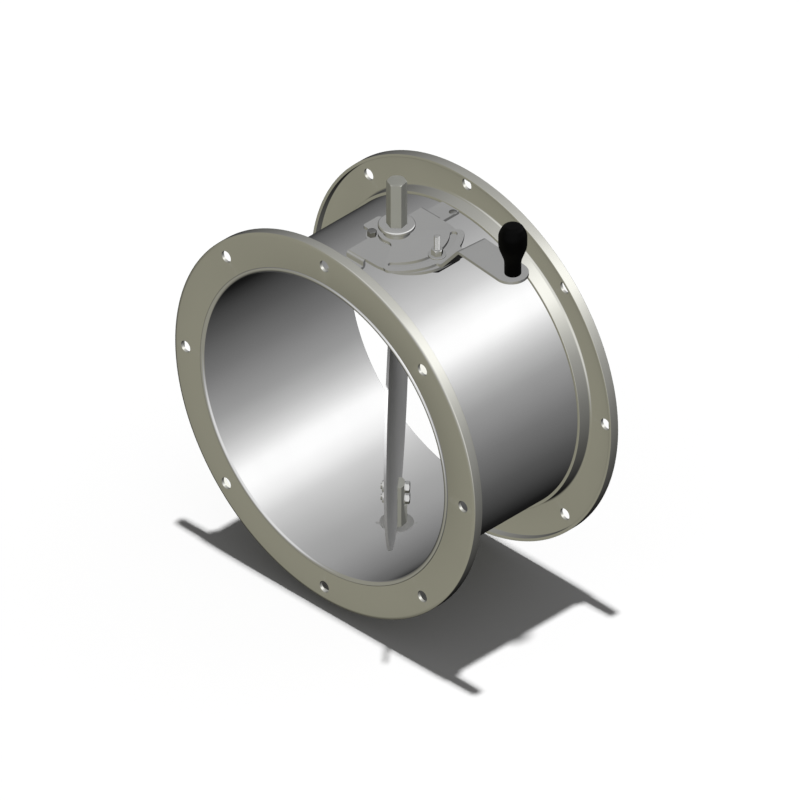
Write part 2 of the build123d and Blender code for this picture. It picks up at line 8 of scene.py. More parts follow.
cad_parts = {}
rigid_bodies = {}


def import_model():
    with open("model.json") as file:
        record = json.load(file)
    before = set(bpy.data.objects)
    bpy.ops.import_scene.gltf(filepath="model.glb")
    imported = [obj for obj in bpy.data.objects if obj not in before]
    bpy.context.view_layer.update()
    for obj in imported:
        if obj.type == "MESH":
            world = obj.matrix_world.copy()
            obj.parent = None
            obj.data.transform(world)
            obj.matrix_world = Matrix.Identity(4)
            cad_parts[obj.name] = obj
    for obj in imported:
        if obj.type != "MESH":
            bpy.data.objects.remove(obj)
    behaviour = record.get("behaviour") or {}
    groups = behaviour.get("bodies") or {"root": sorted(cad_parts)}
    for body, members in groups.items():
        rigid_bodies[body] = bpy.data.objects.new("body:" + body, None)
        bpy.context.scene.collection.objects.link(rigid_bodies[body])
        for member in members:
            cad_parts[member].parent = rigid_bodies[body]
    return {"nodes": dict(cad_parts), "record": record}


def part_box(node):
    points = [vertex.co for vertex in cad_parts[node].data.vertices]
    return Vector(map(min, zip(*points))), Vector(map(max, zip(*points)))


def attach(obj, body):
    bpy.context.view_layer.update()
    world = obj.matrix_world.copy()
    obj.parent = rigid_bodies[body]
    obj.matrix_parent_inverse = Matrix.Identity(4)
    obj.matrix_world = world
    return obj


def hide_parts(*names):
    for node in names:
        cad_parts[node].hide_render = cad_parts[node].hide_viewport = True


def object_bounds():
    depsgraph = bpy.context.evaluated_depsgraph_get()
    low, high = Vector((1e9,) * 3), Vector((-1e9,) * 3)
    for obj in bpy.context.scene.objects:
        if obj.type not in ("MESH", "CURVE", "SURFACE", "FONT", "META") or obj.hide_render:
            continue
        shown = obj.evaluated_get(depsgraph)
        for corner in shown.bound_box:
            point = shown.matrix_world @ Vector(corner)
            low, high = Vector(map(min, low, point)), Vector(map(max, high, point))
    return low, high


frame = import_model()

# Round control damper: finishes, pressed rings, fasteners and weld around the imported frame. Metres.

cad_low, cad_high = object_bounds()
MM = 0.001
DUCT_MIDDLE = Vector((0.0, 0.095, 0.0))

# The photograph is an isometric view without perspective
VIEW_BACK = Vector((1, -1, 1)).normalized()
VIEW_RIGHT = Vector((1, 1, 0)).normalized()
VIEW_UP = VIEW_BACK.cross(VIEW_RIGHT)
VIEW_WIDTH = 0.7425
VIEW_OFFSET_RIGHT = 0.00309
VIEW_OFFSET_UP = -0.01409
CAMERA_DISTANCE = 2.0

FLOOR_GAP = 10.7 * MM
FLOOR_SIZE = 12.0
FLOOR_GREY = 0.225
FLOOR_ROUGHNESS = 0.9
TOP_LIGHT = 12.3
TOP_LIGHT_ANGLE = 2.5

# Studio: brightness round the duct's axis, by degrees from +X
STUDIO_RING = (
    (-180, 0.155), (-165, 0.115), (-145, 0.03), (-125, 0.005), (-109, 0.010), (-93, 0.031),
    (-61, 0.089), (-29, 0.180), (3, 0.337), (19, 0.515), (31, 0.74), (43, 1.05), (54, 1.06),
    (66, 0.91), (78, 0.655), (95, 0.51), (115, 0.395), (135, 0.34), (155, 0.255), (180, 0.155))

# In front of the duct: brightness by the cosine to its brightest spot, olive away from it
FRONT_SPOT = Vector((0.50, -0.60, 0.62))
STUDIO_FRONT = (
    (-1.0, 0.05), (-0.6, 0.12), (-0.3, 0.26), (0.2, 0.27), (0.42, 0.37), (0.64, 0.66),
    (0.9, 0.76), (1.0, 0.76))
FRONT_TINT = (1.0, 0.98, 0.82)
TINT_ENDS = 0.3

# The ring gives way to the front between these shares of a direction's Y
FRONT_BEGINS = 0.42
FRONT_FULL = -0.12

# Finishes: scales per metre, and the spans of noise that colour, gloss and the edge colour go
# through; the edge colour is wear on the flange coat and painted shade on the blade
CLOUD_SCALE = 14.0
CLOUD_SPAN = (0.3, 0.7)
SMEARS_PER_CLOUD = 3.1
ROUGH_SPREAD = 0.03
GRAIN_SCALE = 900.0
GRAIN_WIDTH = 0.4 * MM
WEAR_AND_SHADE_SCALE = 160.0
EDGE_WEAR_AND_SHADE_SPAN = (0.53, 0.62)
WEAR_AND_SHADE_BREAKUP_SPAN = (0.42, 0.62)
ALONG_DUCT = (1, 0.04, 1)
UPRIGHT_GRAIN = (1, 1, 0.03)

# Meshes
MERGE_DISTANCE = 0.002 * MM
SORT_DIGITS = 5
FLAT_ANGLE = 0.4
SHARP_ANGLE = 32.0
RING_SHARP_ANGLE = 28.0
WELD_SHARP_ANGLE = 60.0
EDGE_SEGMENTS = 2
ARC_STEPS = 6
SPIN_STEPS = 240
TUBE_RUNS = 24

# Tube and flange rings; their outer sizes are read from the frame's boxes
BORE_RADIUS = 157.5 * MM
TUBE_RADIUS = 160.0 * MM
BEAD_PROJECTION = 1.8 * MM
BEAD_INNER_ROUND = 3.0 * MM
BEAD_REAR_ROUND = 0.6 * MM
BEAD_OUTER_ROUND = 1.2 * MM
RING_SHEET = 3.0 * MM
RING_LIP_DEPTH = 10.8 * MM
RING_EDGE_SLOPE = (2.5 * MM, 1.0 * MM)
RING_EDGE_ROUNDS = (5.0 * MM, 1.0 * MM)
RING_LIP_INNER_BEND = 0.8 * MM
RING_COLLAR_BEND = 2.5 * MM
RING_FACE_ROUND = 2.5 * MM
SHEET_EDGE_ROUND = 0.35 * MM

# Holes
BOLT_CIRCLE = 182.0 * MM
BOLT_HOLE_RADIUS = 6.0 * MM
BOLT_HOLES = 8
BOLT_DRILL_REACH = 2.0
BOLT_DRILL_SIDES = 32
SHAFT_HOLE_RADIUS = 14.0 * MM
FIXING_HOLE_RADII = {
    "bracket_screws": 2.5 * MM, "bracket_rivets": 2.05 * MM, "lower_housing_screws": 2.0 * MM}
FIXING_DRILL_REACH = 40 * MM
TUBE_DRILL_SIDES = 40

# Hexagon bolts; seat and tail are measured from the shaft's axis
BLADE_NORMAL_HEADING = radians(41.0)
BOLT_THREAD_PITCH = 1.0 * MM
BOLT_THREAD_DEPTH = 0.45 * MM
BLADE_BOLT_SEAT = 8.4 * MM
BLADE_BOLT_TAIL = 14.9 * MM
BLADE_BOLT_FLATS = 10.0 * MM
BLADE_BOLT_HEAD = 4.0 * MM
BLADE_BOLT_RADIUS = 3.0 * MM
BRACKET_SCREW_FLATS = 8.0 * MM
BRACKET_SCREW_HEAD = 5.5 * MM
BRACKET_SCREW_RADIUS = 2.5 * MM
BRACKET_SCREW_PITCH = 0.8 * MM
BRACKET_SCREW_DEPTH = 0.35 * MM
HEXAGON_TOP = 0.47
CONE_SIDES = 36

# Pan-head screws: radius and height of the head, radius of the shank
PAN_SCREWS = {
    "lower_housing_screws": (3.4 * MM, 2.4 * MM, 2.0 * MM),
    "knob_screw": (5.2 * MM, 2.6 * MM, 3.0 * MM)}
RECESS_WIDTH = 1.1 * MM
RECESS_REACH = 1.15
PAN_DOME = 1.45
HEAD_SIDES = 28
DOME_RINGS = 20

# Blind rivets; the pin's hole is given as shares of the body's radius and the head's height
RIVET_HEAD_RADIUS = 4.0 * MM
RIVET_HEAD_HEIGHT = 1.4 * MM
RIVET_BODY_RADIUS = 2.0 * MM
RIVET_BULGE_RADIUS = 3.0 * MM
RIVET_BULGE_HEIGHT = 2.0 * MM
RIVET_DOME = 1.7
RIVET_SIDES = 16
BULGE_GRID = (20, 10)
PIN_RADIUS = 0.6
PIN_FLOOR = 0.25
PIN_TOP = 2.0

# Threads: rings in each turn, and where the rod's end begins as a share of its length
THREAD_RINGS = 4.0
THREAD_END = 0.495
SHANK_SIDES = 20
STUD_RADIUS = 3.0 * MM
STUD_HEAD_HEIGHT = 3.2 * MM
STUD_SIDES = 28
STUD_HEAD_SIDES = 40

# The tube's weld
WELD_HEADING = radians(-118.0)
WELD_END_GAP = 2 * MM
RIPPLE_WIDTH = 3.6 * MM
RIPPLE_LENGTH = 3.2 * MM
RIPPLE_HEIGHT = 0.8 * MM
RIPPLE_STEP = 1.5 * MM
RIPPLE_GRID = (12, 6)
RIPPLE_SPREAD = (0.9, 1.08)
RIPPLE_SEED = 7


# Node helpers

def link(tree, source, target):
    tree.links.new(source, target)


def put(tree, kind, feeds=None, **settings):
    """A node with its settings; each input gets a value or another node's output."""
    made = tree.nodes.new(kind)
    for name, value in settings.items():
        setattr(made, name, value)
    for name, value in (feeds or {}).items():
        if isinstance(value, bpy.types.NodeSocket):
            link(tree, value, made.inputs[name])
        else:
            made.inputs[name].default_value = value
    return made


def maths(tree, operation, first, second=0.0):
    return put(tree, "ShaderNodeMath", {0: first, 1: second}, operation=operation).outputs[0]


def ranged(tree, value, low, high, start=0.0, end=1.0):
    """A value moved from the range start to end into the range low to high."""
    return put(tree, "ShaderNodeMapRange", {
        "Value": value, "From Min": start, "From Max": end, "To Min": low,
        "To Max": high}).outputs["Result"]


def noise(tree, place, scale, detail=3.0, rough=0.5, stretch=(1, 1, 1)):
    """Object-space noise, stretched along any axis, as a value from 0 to 1."""
    mapping = put(tree, "ShaderNodeMapping", {"Vector": place, "Scale": stretch})
    return put(tree, "ShaderNodeTexNoise", {
        "Vector": mapping.outputs["Vector"], "Scale": scale, "Detail": detail,
        "Roughness": rough}).outputs["Fac"]


def mixed(tree, share, first, second):
    """Two colours, or colour outputs, mixed by a value."""
    made = put(tree, "ShaderNodeMix", {"Factor": share}, data_type="RGBA")
    for socket, colour in ((made.inputs[6], first), (made.inputs[7], second)):
        if isinstance(colour, tuple):
            socket.default_value = (*colour, 1.0)
        else:
            link(tree, colour, socket)
    return made.outputs[2]


def filled_ramp(tree, value, stops):
    """A colour ramp over a value from 0 to 1, with a stop for each (position, colour)."""
    ramp = put(tree, "ShaderNodeValToRGB", {"Fac": value})
    while len(ramp.color_ramp.elements) < len(stops):
        ramp.color_ramp.elements.new(0.5)
    for element, (position, colour) in zip(ramp.color_ramp.elements, stops):
        element.position = position
        element.color = (*colour, 1)
    return ramp.outputs["Color"]


# Finishes

def finish(name, light, dark, metallic, rough, cloud_scale=CLOUD_SCALE, grain_stretch=(1, 1, 1),
           grain_depth=0.02, edge=None, specular=0.5):
    """One surface: slow colour clouds, uneven gloss, a fine directional grain and an edge colour on
    sharp edges, which is wear on some finishes and painted shade on others.
    """
    made = bpy.data.materials.new(name)
    made.use_nodes = True
    tree = made.node_tree
    shader = tree.nodes["Principled BSDF"]
    shader.inputs["Metallic"].default_value = metallic
    shader.inputs["Specular IOR Level"].default_value = specular
    place = put(tree, "ShaderNodeTexCoord").outputs["Object"]
    cloud = noise(tree, place, cloud_scale)
    colour = mixed(tree, ranged(tree, cloud, 0, 1, *CLOUD_SPAN), light, dark)
    # Sharp edges take the edge colour: worn paint on the flange coat, painted shade darkening the
    # blade's rim
    if edge:
        sharpness = put(tree, "ShaderNodeNewGeometry").outputs["Pointiness"]
        breakup = noise(tree, place, WEAR_AND_SHADE_SCALE, detail=4.0, rough=0.7)
        edge_wear_and_shade = maths(tree, "MULTIPLY", ranged(tree, sharpness, 0, 1, *EDGE_WEAR_AND_SHADE_SPAN),
                     ranged(tree, breakup, 0, 1, *WEAR_AND_SHADE_BREAKUP_SPAN))
        colour = mixed(tree, edge_wear_and_shade, colour, edge)
    link(tree, colour, shader.inputs["Base Color"])
    smear = noise(tree, place, cloud_scale * SMEARS_PER_CLOUD, detail=4.0)
    gloss = ranged(tree, smear, rough - ROUGH_SPREAD, rough + ROUGH_SPREAD, *CLOUD_SPAN)
    link(tree, gloss, shader.inputs["Roughness"])
    grain = noise(tree, place, GRAIN_SCALE, detail=2.0, rough=0.6, stretch=grain_stretch)
    bump = put(tree, "ShaderNodeBump", {
        "Strength": grain_depth, "Distance": GRAIN_WIDTH, "Height": grain})
    link(tree, bump.outputs["Normal"], shader.inputs["Normal"])
    return made


FINISHES = {
    "duct_sheet": finish("rolled_duct_sheet", (0.96, 0.96, 0.96), (0.93, 0.93, 0.93), 1.0, 0.13,
                         grain_stretch=ALONG_DUCT, grain_depth=0.03),
    "flange_steel": finish("olive_flange_coat", (0.92, 0.915, 0.845), (0.90, 0.895, 0.825),
                           1.0, 0.15, cloud_scale=9.0, grain_depth=0.04,
                           edge=(0.95, 0.945, 0.90)),
    "bracket_steel": finish("zinc_bracket", (0.92, 0.92, 0.91), (0.88, 0.88, 0.875), 1.0, 0.22),
    "lever_steel": finish("zinc_lever", (0.94, 0.94, 0.93), (0.91, 0.91, 0.905), 1.0, 0.22),
    # The blade's dark edge colour is painted shade: it darkens the rim as if the rim were shaded
    "blade_steel": finish("dull_blade_sheet", (0.54, 0.54, 0.54), (0.50, 0.50, 0.505), 0.0, 0.50,
                          specular=0.2, edge=(0.22, 0.22, 0.22)),
    "bar_steel": finish("drawn_bar", (0.72, 0.725, 0.67), (0.68, 0.685, 0.63), 1.0, 0.52,
                        grain_stretch=UPRIGHT_GRAIN, grain_depth=0.05),
    "screw_steel": finish("bright_zinc", (0.86, 0.86, 0.85), (0.80, 0.80, 0.79), 1.0, 0.16),
    "black_moulding": finish("black_moulding", (0.005, 0.005, 0.005), (0.008, 0.008, 0.008),
                             0.0, 0.55, grain_depth=0.10, specular=0.3),
    "bush_plastic": finish("bearing_plastic", (0.56, 0.56, 0.555), (0.52, 0.52, 0.515),
                           0.0, 0.45),
    "seal_rubber": finish("seal_rubber", (0.010, 0.010, 0.010), (0.015, 0.015, 0.015), 0.0, 0.75,
                          specular=0.3),
    "knob_plastic": finish("black_knob", (0.0003, 0.0003, 0.0003), (0.0006, 0.0006, 0.0006),
                           0.0, 0.34, grain_depth=0.03, specular=0.05),
    "housing_metal": finish("cast_housing", (0.80, 0.80, 0.79), (0.70, 0.70, 0.69), 1.0, 0.42,
                            grain_depth=0.10),
}
# A darker copy of the bright zinc: painted shade that makes the bracket's screw and rivet heads read
# as dark shaded dots
SHADE_DARKENED_ZINC = finish("zinc_darkened_as_shade", (0.42, 0.42, 0.41), (0.34, 0.34, 0.335), 1.0, 0.20)
SLOT_OF = {part["node"]: part["material_slot"] for part in frame["record"]["subparts"]}
BODY_OF = {name: body for body, names in frame["record"]["behaviour"]["bodies"].items()
           for name in names}


# Pieces

def settle(piece, body, slot, replaced=(), sharp=SHARP_ANGLE, coat=None):
    """Shade a piece with its slot's finish or a coat, join it to its body and hide what it
    stands for."""
    piece.data.materials.clear()
    piece.data.materials.append(coat or FINISHES[slot])
    piece.data.shade_smooth()
    piece.data.set_sharp_from_angle(angle=radians(sharp))
    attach(piece, body)
    if replaced:
        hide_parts(*replaced)


def new_piece(name, mesh):
    piece = bpy.data.objects.new(name, mesh)
    bpy.context.scene.collection.objects.link(piece)
    return piece


def rounded_copy(name, width):
    """A merged copy of a node in its place, its edges rounded by a width in millimetres."""
    mesh = frame["nodes"][name].data.copy()
    work = bmesh.new()
    work.from_mesh(mesh)
    bmesh.ops.remove_doubles(work, verts=work.verts, dist=MERGE_DISTANCE)
    bmesh.ops.dissolve_limit(work, angle_limit=radians(FLAT_ANGLE), verts=work.verts,
                             edges=work.edges, delimit={"NORMAL"})
    work.to_mesh(mesh)
    work.free()
    piece = new_piece(name + "_finished", mesh)
    bevel = piece.modifiers.new("rounded_edges", "BEVEL")
    bevel.width = width * MM
    bevel.segments = EDGE_SEGMENTS
    bevel.limit_method = "ANGLE"
    bevel.angle_limit = radians(SHARP_ANGLE)
    settle(piece, BODY_OF[name], SLOT_OF[name], (name,))


def solid_boxes(name):
    """The lowest and highest corner of each separate solid in a node."""
    work = bmesh.new()
    work.from_mesh(frame["nodes"][name].data)
    bmesh.ops.remove_doubles(work, verts=work.verts, dist=MERGE_DISTANCE)
    boxes = []
    unseen = set(work.verts)
    while unseen:
        group = [unseen.pop()]
        for vertex in group:
            for edge in vertex.link_edges:
                other = edge.other_vert(vertex)
                if other in unseen:
                    unseen.remove(other)
                    group.append(other)
        low = Vector(min(vertex.co[axis] for vertex in group) for axis in range(3))
        high = Vector(max(vertex.co[axis] for vertex in group) for axis in range(3))
        boxes.append((low, high))
    work.free()
    return sorted(boxes, key=lambda box: [round(box[0][axis], SORT_DIGITS) for axis in (2, 0, 1)])


def on_axis(low, high, level):
    """The point at a level on the upright line through a box's middle."""
    return Vector(((low.x + high.x) / 2, (low.y + high.y) / 2, level))


# Geometry trees

def geometry_tree(name, sizes):
    """An empty tree with named sizes as inputs; gives the tree and its input sockets by name."""
    tree = bpy.data.node_groups.new(name, "GeometryNodeTree")
    tree.interface.new_socket("Geometry", in_out="INPUT", socket_type="NodeSocketGeometry")
    tree.interface.new_socket("Geometry", in_out="OUTPUT", socket_type="NodeSocketGeometry")
    for size in sizes:
        tree.interface.new_socket(size, in_out="INPUT", socket_type="NodeSocketFloat")
    return tree, tree.nodes.new("NodeGroupInput").outputs


def realized(tree, instances):
    return put(tree, "GeometryNodeRealizeInstances", {
        "Geometry": instances}).outputs["Geometry"]


def close_tree(tree, geometry, material):
    painted = put(tree, "GeometryNodeSetMaterial", {
        "Geometry": realized(tree, geometry), "Material": material})
    put(tree, "NodeGroupOutput", {"Geometry": painted.outputs["Geometry"]})


def grown(name, tree, mesh, sizes):
    """A piece whose mesh the tree makes from a start mesh and its named sizes."""
    host = new_piece(name, mesh)
    build = host.modifiers.new("build", "NODES")
    build.node_group = tree
    for item in tree.interface.items_tree:
        if item.in_out == "INPUT" and item.name in sizes:
            build[item.identifier] = float(sizes[item.name])
    bpy.context.view_layer.update()
    evaluated = host.evaluated_get(bpy.context.evaluated_depsgraph_get())
    made = bpy.data.meshes.new_from_object(evaluated)
    made.name = name
    host.modifiers.clear()
    host.data = made
    return host


def minus(tree, value):
    return maths(tree, "MULTIPLY", value, -1.0)


def midway(tree, low, high):
    return maths(tree, "MULTIPLY", maths(tree, "ADD", high, low), 0.5)


def vector(tree, x=0.0, y=0.0, z=0.0):
    return put(tree, "ShaderNodeCombineXYZ", {"X": x, "Y": y, "Z": z}).outputs[0]


def moved(tree, geometry, z=0.0, turn=(0, 0, 0), scale=(1, 1, 1)):
    return put(tree, "GeometryNodeTransform", {
        "Geometry": geometry, "Translation": vector(tree, z=z), "Rotation": turn,
        "Scale": scale}).outputs["Geometry"]


def at_points(tree, points, shape, turn=None, scale=(1, 1, 1)):
    """The shape at every point, turned by three angles and scaled."""
    feeds = {"Points": points, "Instance": shape, "Scale": scale}
    if turn is not None:
        feeds["Rotation"] = put(tree, "FunctionNodeEulerToRotation", {0: turn}).outputs[0]
    return put(tree, "GeometryNodeInstanceOnPoints", feeds).outputs["Instances"]


def cylinder(tree, sides, radius, low, high):
    """A closed upright prism or cylinder between two heights."""
    depth = maths(tree, "SUBTRACT", high, low)
    mesh = put(tree, "GeometryNodeMeshCylinder", {
        "Vertices": sides, "Radius": radius, "Depth": depth})
    return moved(tree, mesh.outputs["Mesh"], z=midway(tree, low, high))


def sphere(tree, grid, radius):
    """A globe with grid = (segments, rings)."""
    return put(tree, "GeometryNodeMeshUVSphere", {
        "Segments": grid[0], "Rings": grid[1], "Radius": radius}).outputs["Mesh"]


def joined(tree, *parts):
    made = tree.nodes.new("GeometryNodeJoinGeometry")
    for part in reversed(parts):
        link(tree, part, made.inputs["Geometry"])
    return made.outputs["Geometry"]


def cut(tree, operation, body, *tools):
    """A boolean: the body less the tools, or only what they share."""
    made = put(tree, "GeometryNodeMeshBoolean", operation=operation, solver="EXACT")
    if operation == "DIFFERENCE":
        link(tree, body, made.inputs["Mesh 1"])
        for tool in tools:
            link(tree, tool, made.inputs["Mesh 2"])
    else:
        for part in (body, *tools):
            link(tree, part, made.inputs["Mesh 2"])
    return made.outputs["Mesh"]


def thread(tree, radius, low, high, pitch, depth, sides=SHANK_SIDES):
    """A rod whose skin follows a helical groove; its end is drawn in a little."""
    length = maths(tree, "SUBTRACT", high, low)
    all_rings = maths(tree, "DIVIDE", maths(tree, "MULTIPLY", length, THREAD_RINGS), pitch)
    rod = put(tree, "GeometryNodeMeshCylinder", {
        "Vertices": sides, "Side Segments": maths(tree, "CEIL", all_rings), "Radius": 1.0,
        "Depth": length})
    place = put(tree, "GeometryNodeInputPosition").outputs[0]
    split = put(tree, "ShaderNodeSeparateXYZ", {"Vector": place}).outputs
    turn = maths(tree, "DIVIDE", maths(tree, "ARCTAN2", split["Y"], split["X"]), tau)
    phase = maths(tree, "ADD", maths(tree, "DIVIDE", split["Z"], pitch), turn)
    groove = maths(tree, "MULTIPLY", maths(tree, "PINGPONG", phase, 0.5),
                   maths(tree, "MULTIPLY", depth, 2.0))
    skin = maths(tree, "SUBTRACT", radius, groove)
    near_end = maths(tree, "GREATER_THAN", split["Z"],
                     maths(tree, "MULTIPLY", length, THREAD_END))
    skin = maths(tree, "SUBTRACT", skin, maths(tree, "MULTIPLY", near_end, depth))
    flat = put(tree, "ShaderNodeVectorMath", {0: place, 1: (1, 1, 0)}, operation="MULTIPLY")
    wide = put(tree, "ShaderNodeVectorMath", {0: flat.outputs[0], "Scale": skin},
               operation="SCALE")
    raised = put(tree, "ShaderNodeVectorMath", {0: wide.outputs[0], 1: vector(tree, z=split["Z"])},
                 operation="ADD")
    shaped = put(tree, "GeometryNodeSetPosition", {
        "Geometry": rod.outputs["Mesh"], "Position": raised.outputs[0]})
    return moved(tree, shaped.outputs["Geometry"], z=midway(tree, low, high))


def points_mesh(name, places):
    mesh = bpy.data.meshes.new(name)
    mesh.from_pydata([tuple(place) for place in places], [], [])
    return mesh


def hexagon_head(tree, flats, height):
    """A hexagon from 0 up to its height, its top corners turned to a cone."""
    corner = maths(tree, "DIVIDE", flats, sqrt(3))
    prism = cylinder(tree, 6, corner, 0.0, height)
    top = maths(tree, "MULTIPLY", flats, HEXAGON_TOP)
    wide = maths(tree, "ADD", top, maths(tree, "MULTIPLY", height, sqrt(3)))
    cone = put(tree, "GeometryNodeMeshCone", {
        "Vertices": CONE_SIDES, "Radius Top": top, "Radius Bottom": wide,
        "Depth": height}).outputs["Mesh"]
    return cut(tree, "INTERSECT", prism, cone)


def domed_head(tree, radius, height, roundness):
    """A round head from 0 up to its height, its top part of a sphere."""
    drum = cylinder(tree, HEAD_SIDES, radius, 0.0, height)
    dome_radius = maths(tree, "MULTIPLY", radius, roundness)
    dome = sphere(tree, (HEAD_SIDES, DOME_RINGS), dome_radius)
    sunk = maths(tree, "SUBTRACT", height, dome_radius)
    return cut(tree, "INTERSECT", drum, moved(tree, dome, z=sunk))


def hexagon_bolt_tree():
    """Hexagon heads on threaded shanks, one at every start point."""
    tree, size = geometry_tree("hexagon_bolts", (
        "Across Flats", "Head Height", "Shank Radius", "Shank Length", "Thread Pitch",
        "Thread Depth", "Heading", "Tilt"))
    head = hexagon_head(tree, size["Across Flats"], size["Head Height"])
    shank = thread(tree, size["Shank Radius"], minus(tree, size["Shank Length"]), 0.0,
                   size["Thread Pitch"], size["Thread Depth"])
    bolts = at_points(tree, size["Geometry"], joined(tree, head, shank),
                      vector(tree, x=size["Tilt"], z=size["Heading"]))
    close_tree(tree, bolts, FINISHES["screw_steel"])
    return tree


def pan_screw_tree():
    """Domed screw heads with a cross recess on plain shanks, one at every start point."""
    tree, size = geometry_tree("pan_head_screws", (
        "Head Radius", "Head Height", "Recess Width", "Shank Radius", "Shank Length",
        "Turn Over"))
    height, radius = size["Head Height"], size["Head Radius"]
    head = domed_head(tree, radius, height, PAN_DOME)
    reach = maths(tree, "MULTIPLY", radius, RECESS_REACH)
    slot = put(tree, "GeometryNodeMeshCube", {
        "Size": vector(tree, reach, size["Recess Width"], height)}).outputs["Mesh"]
    head = cut(tree, "DIFFERENCE", head, moved(tree, slot, z=height),
               moved(tree, slot, z=height, turn=(0, 0, pi / 2)))
    shank = cylinder(tree, SHANK_SIDES, size["Shank Radius"], minus(tree, size["Shank Length"]),
                     0.0)
    screws = at_points(tree, size["Geometry"], joined(tree, head, shank),
                       vector(tree, x=size["Turn Over"]))
    close_tree(tree, screws, FINISHES["screw_steel"])
    return tree


def blind_rivet_tree():
    """Blind rivets: a low dome with the broken pin's hole, a body, and the bulge in the tube."""
    tree, size = geometry_tree("blind_rivets", (
        "Head Radius", "Head Height", "Body Radius", "Grip", "Bulge Radius", "Bulge Height"))
    height = size["Head Height"]
    head = domed_head(tree, size["Head Radius"], height, RIVET_DOME)
    pin = cylinder(tree, RIVET_SIDES, maths(tree, "MULTIPLY", size["Body Radius"], PIN_RADIUS),
                   maths(tree, "MULTIPLY", height, PIN_FLOOR),
                   maths(tree, "MULTIPLY", height, PIN_TOP))
    head = cut(tree, "DIFFERENCE", head, pin)
    below = minus(tree, size["Grip"])
    body = cylinder(tree, RIVET_SIDES, size["Body Radius"], below, 0.0)
    half = maths(tree, "MULTIPLY", size["Bulge Height"], 0.5)
    bulge = moved(tree, sphere(tree, BULGE_GRID, 1.0), z=maths(tree, "SUBTRACT", below, half),
                  scale=vector(tree, size["Bulge Radius"], size["Bulge Radius"], half))
    rivets = at_points(tree, size["Geometry"], joined(tree, head, body, bulge))
    close_tree(tree, rivets, FINISHES["screw_steel"])
    return tree


def threaded_stud_tree():
    """A threaded rod on a flat round head, at every start point."""
    tree, size = geometry_tree("threaded_stud", (
        "Stud Radius", "Stud Length", "Head Radius", "Head Height", "Thread Pitch",
        "Thread Depth"))
    rod = thread(tree, size["Stud Radius"], 0.0, size["Stud Length"], size["Thread Pitch"],
                 size["Thread Depth"], STUD_SIDES)
    head = cylinder(tree, STUD_HEAD_SIDES, size["Head Radius"],
                    minus(tree, size["Head Height"]), 0.0)
    studs = at_points(tree, size["Geometry"], joined(tree, rod, head))
    close_tree(tree, studs, FINISHES["screw_steel"])
    return tree


def drilled_ring_tree():
    """Round bolt holes through the start mesh, evenly on a circle about the duct's axis."""
    tree, size = geometry_tree("drilled_ring", (
        "Circle Radius", "Hole Radius", "Hole Count", "Reach"))
    count = put(tree, "FunctionNodeFloatToInt", {0: size["Hole Count"]}).outputs[0]
    circle = put(tree, "GeometryNodeMeshCircle", {
        "Vertices": count, "Radius": size["Circle Radius"]})
    drill = put(tree, "GeometryNodeMeshCylinder", {
        "Vertices": BOLT_DRILL_SIDES, "Radius": size["Hole Radius"], "Depth": size["Reach"]})
    upright = at_points(tree, circle.outputs["Mesh"], drill.outputs["Mesh"])
    laid = moved(tree, realized(tree, upright), turn=(pi / 2, 0, 0))
    close_tree(tree, cut(tree, "DIFFERENCE", size["Geometry"], laid), FINISHES["flange_steel"])
    return tree


def bored_tube_tree():
    """Upright holes through the start mesh at its loose points, each with its own radius and
    reach."""
    tree, size = geometry_tree("bored_tube", ("Sides",))
    radius, reach = (
        put(tree, "GeometryNodeInputNamedAttribute", {"Name": name},
            data_type="FLOAT").outputs["Attribute"]
        for name in ("drill_radius", "drill_reach"))
    is_drill = put(tree, "FunctionNodeCompare", {0: radius, 1: 0.0}, data_type="FLOAT",
                   operation="GREATER_THAN").outputs["Result"]
    split = put(tree, "GeometryNodeSeparateGeometry", {
        "Geometry": size["Geometry"], "Selection": is_drill}, domain="POINT")
    sides = put(tree, "FunctionNodeFloatToInt", {0: size["Sides"]}).outputs[0]
    drill = put(tree, "GeometryNodeMeshCylinder", {
        "Vertices": sides, "Radius": 1.0, "Depth": 1.0})
    drills = at_points(tree, split.outputs["Selection"], drill.outputs["Mesh"],
                       scale=vector(tree, radius, radius, reach))
    bored = cut(tree, "DIFFERENCE", split.outputs["Inverted"], realized(tree, drills))
    close_tree(tree, bored, FINISHES["duct_sheet"])
    return tree


def weld_tree():
    """A run of overlapping flat ripples along the start mesh's line of points."""
    tree, size = geometry_tree("weld_bead", (
        "Ripple Width", "Ripple Length", "Ripple Height", "Heading"))
    ripple = moved(tree, sphere(tree, RIPPLE_GRID, 0.5), scale=vector(
        tree, size["Ripple Height"], size["Ripple Length"], size["Ripple Width"]))
    jitter = put(tree, "FunctionNodeRandomValue", {
        2: RIPPLE_SPREAD[0], 3: RIPPLE_SPREAD[1], "Seed": RIPPLE_SEED},
        data_type="FLOAT").outputs[1]
    ripples = at_points(tree, size["Geometry"], ripple,
                        vector(tree, y=minus(tree, size["Heading"])),
                        vector(tree, jitter, 1.0, jitter))
    close_tree(tree, ripples, FINISHES["duct_sheet"])
    return tree


# Tube and flange rings, turned about the duct's axis

def rounded_path(corners):
    """A closed outline in which each corner (x, y, radius) is an arc; radius 0 keeps it sharp."""
    path = []
    for index, (x, y, radius) in enumerate(corners):
        here = Vector((x, y))
        if radius == 0:
            path.append(here)
            continue
        before = (Vector(corners[index - 1][:2]) - here).normalized()
        after = (Vector(corners[(index + 1) % len(corners)][:2]) - here).normalized()
        half = before.angle(after) / 2
        centre = here + (before + after).normalized() * radius / sin(half)
        start = here + before * radius / tan(half) - centre
        end = here + after * radius / tan(half) - centre
        sweep = start.angle_signed(end)
        for step in range(ARC_STEPS + 1):
            path.append(centre + Matrix.Rotation(-sweep * step / ARC_STEPS, 2) @ start)
    return path


